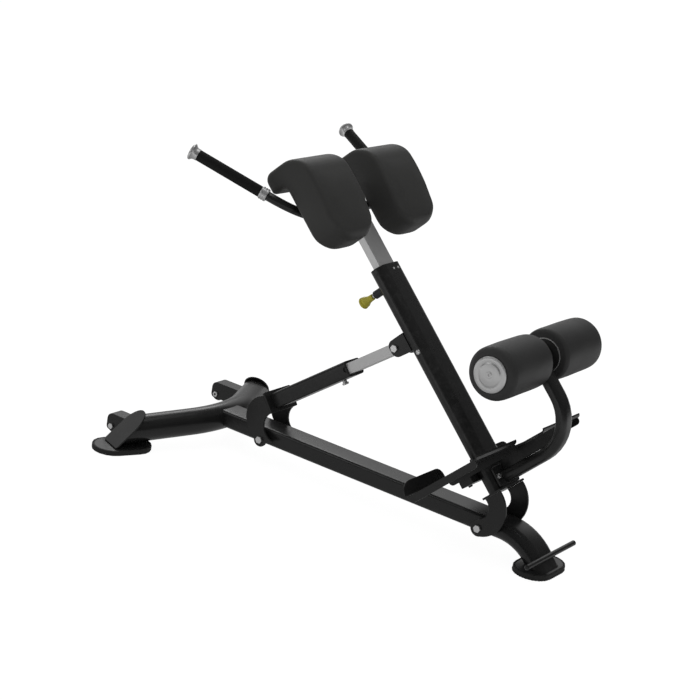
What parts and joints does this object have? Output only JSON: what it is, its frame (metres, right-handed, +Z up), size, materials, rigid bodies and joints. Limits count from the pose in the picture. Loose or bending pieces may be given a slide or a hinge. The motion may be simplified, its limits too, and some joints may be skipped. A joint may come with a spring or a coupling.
{
  "type": "hyperextension bench",
  "caption": "Leaning bench with thigh pads on a sliding post, ankle rollers, foot plates and grips, held at its angle by a telescoping brace on a floor frame.",
  "frame": {"origin": "on the floor, at the middle of the bounding box", "axes": "+Z up, +X from the grips towards the rear foot, -Y on the user's left when they lean on the pads facing the grips"},
  "size_m": [1.329, 0.783, 0.9193],
  "materials": {
    "frame_paint": "satin textured powder coat, near black",
    "silver_paint": "satin silver paint",
    "zinc": "bright zinc plate",
    "aluminium": "satin turned aluminium",
    "foot_rubber": "moulded matt rubber",
    "grip_rubber": "fine textured rubber",
    "black_plastic": "moulded matt plastic",
    "knob_plastic": "moulded yellow plastic",
    "upholstery": "smooth matt charcoal upholstery",
    "roller_foam": "smooth matt charcoal skin over foam"
  },
  "bodies": {
    "base": {"main_rail": "frame_paint", "front_leg_tube": "frame_paint", "rear_foot_tube": "frame_paint", "rear_foot_pad": "foot_rubber", "rear_sole_plate": "frame_paint", "lift_rod": "frame_paint", "brace_pivot_bolt": "zinc", "post_pivot_bolt": "zinc", "leg_end_plate_left": "frame_paint", "front_foot_pad_left": "foot_rubber", "front_sole_plate_left": "frame_paint", "wheel_bracket_left": "frame_paint", "wheel_axle_left": "zinc", "leg_end_plate_right": "frame_paint", "front_foot_pad_right": "foot_rubber", "front_sole_plate_right": "frame_paint", "wheel_bracket_right": "frame_paint", "wheel_axle_right": "zinc"},
    "post": {"main_post": "frame_paint", "post_end_plate": "frame_paint", "post_guide": "black_plastic", "clevis_bracket": "frame_paint", "upper_brace_bolt": "zinc", "pin_housing": "black_plastic", "foot_plate_beam": "frame_paint", "foot_plate_crossbar": "frame_paint", "roller_arm": "frame_paint", "arm_gusset": "frame_paint", "roller_axle": "zinc", "post_pivot_plate_left": "frame_paint", "foot_plate_left": "frame_paint", "post_pivot_plate_right": "frame_paint", "foot_plate_right": "frame_paint"},
    "brace_bar": {"brace_inner": "silver_paint"},
    "brace_outer": {"brace_sleeve": "frame_paint", "brace_guide": "black_plastic", "brace_end_plate": "frame_paint", "brace_lock_bolt": "zinc", "brace_pivot_plate_left": "frame_paint", "brace_pivot_plate_right": "frame_paint"},
    "carriage": {"inner_post": "silver_paint", "handle_bar": "frame_paint", "thigh_pad_left": "upholstery", "grip_left": "grip_rubber", "grip_collar_left": "aluminium", "grip_cap_left": "aluminium", "thigh_pad_right": "upholstery", "grip_right": "grip_rubber", "grip_collar_right": "aluminium", "grip_cap_right": "aluminium"},
    "pin": {"pull_pin": "zinc", "pull_knob": "knob_plastic"},
    "roller_left_spin": {"roller_left": "roller_foam", "roller_flange_left": "aluminium", "roller_cap_left": "aluminium"},
    "wheel_left_spin": {"transport_wheel_left": "black_plastic"},
    "roller_right_spin": {"roller_right": "roller_foam", "roller_flange_right": "aluminium", "roller_cap_right": "aluminium"},
    "wheel_right_spin": {"transport_wheel_right": "black_plastic"}
  },
  "joints": [
    {"name": "post_tilt", "type": "hinge", "parent": "base", "child": "post", "pos_m": [0.446, 0, 0.07], "axis": [0, 1, 0], "range_deg": [-8, 4]},
    {"name": "brace_swing", "type": "hinge", "parent": "post", "child": "brace_bar", "pos_m": [0.08962, 0, 0.45269], "axis": [0, 1, 0], "range_deg": [-4.9, 9.5]},
    {"name": "brace_telescope", "type": "slide", "parent": "brace_bar", "child": "brace_outer", "axis": [-0.7959, 0, -0.6055], "range_m": [-0.0748, 0.0378]},
    {"name": "carriage_height", "type": "slide", "parent": "post", "child": "carriage", "axis": [-0.7071, 0, 0.7071], "range_m": [-0.12, 0.09]},
    {"name": "pin_pull", "type": "slide", "parent": "post", "child": "pin", "axis": [-0.7071, 0, -0.7071], "range_m": [-0.0065, 0]},
    {"name": "roller_left_turn", "type": "hinge", "parent": "post", "child": "roller_left_spin", "pos_m": [0.48843, -0.14, 0.54758], "axis": [0, 1, 0], "continuous": true},
    {"name": "roller_right_turn", "type": "hinge", "parent": "post", "child": "roller_right_spin", "pos_m": [0.48843, 0.14, 0.54758], "axis": [0, 1, 0], "continuous": true},
    {"name": "wheel_left_turn", "type": "hinge", "parent": "base", "child": "wheel_left_spin", "pos_m": [-0.6425, -0.2395, 0.028], "axis": [0, 1, 0], "continuous": true},
    {"name": "wheel_right_turn", "type": "hinge", "parent": "base", "child": "wheel_right_spin", "pos_m": [-0.6425, 0.2395, 0.028], "axis": [0, 1, 0], "continuous": true}
  ],
  "couplings": [
    {"joint": "brace_swing", "follows": "post_tilt", "ratio": -1.145},
    {"joint": "brace_telescope", "follows": "post_tilt", "m_per_rad": 0.53}
  ]
}
